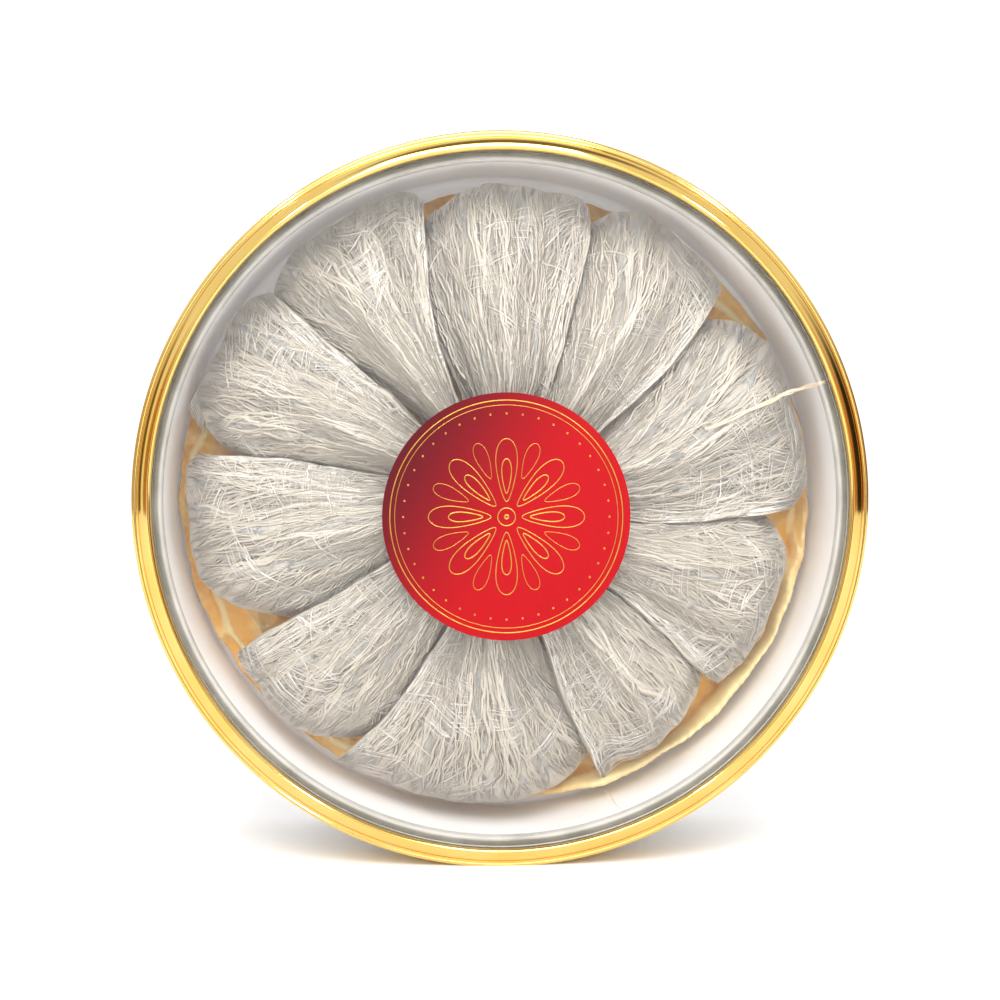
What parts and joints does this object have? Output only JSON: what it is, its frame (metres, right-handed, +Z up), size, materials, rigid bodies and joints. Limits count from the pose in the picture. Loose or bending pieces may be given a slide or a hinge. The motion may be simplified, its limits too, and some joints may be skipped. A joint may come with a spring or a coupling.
{
  "type": "boxed edible birds nests",
  "caption": "Round clear-lidded gift box standing on its edge, with dried edible birds' nests shingled in a ring on a satin pad.",
  "frame": {"origin": "on the ground under the middle of the box, which stands on the small flat spot at the bottom of its rim and foot", "axes": "+Z up; the box's axis lies along Y, with the window facing -Y and the flat back facing +Y; +X to the right as seen from the window side"},
  "size_m": [0.2, 0.06, 0.1995],
  "materials": {
    "gold_plating": "vacuum-metallised gold on moulded plastic, mirror bright",
    "clear_pane": "clear polished acrylic sheet",
    "clear_seal": "clear silicone, slightly grey",
    "white_plastic": "white moulded plastic, soft gloss",
    "red_paper": "red coated paper with gold foil rings",
    "gold_satin": "gold satin cloth, creased",
    "nest_strands": "dried translucent strands, off-white, glossy where they catch the light"
  },
  "bodies": {
    "root": {"lid_rim": "gold_plating", "lid_window": "clear_pane", "seal_ring": "clear_seal", "tray": "white_plastic", "label": "red_paper", "satin_pad": "gold_satin", "nest_01": "nest_strands", "nest_02": "nest_strands", "nest_03": "nest_strands", "nest_04": "nest_strands", "nest_05": "nest_strands", "nest_06": "nest_strands", "nest_07": "nest_strands", "nest_08": "nest_strands", "nest_09": "nest_strands", "nest_10": "nest_strands"}
  },
  "joints": []
}
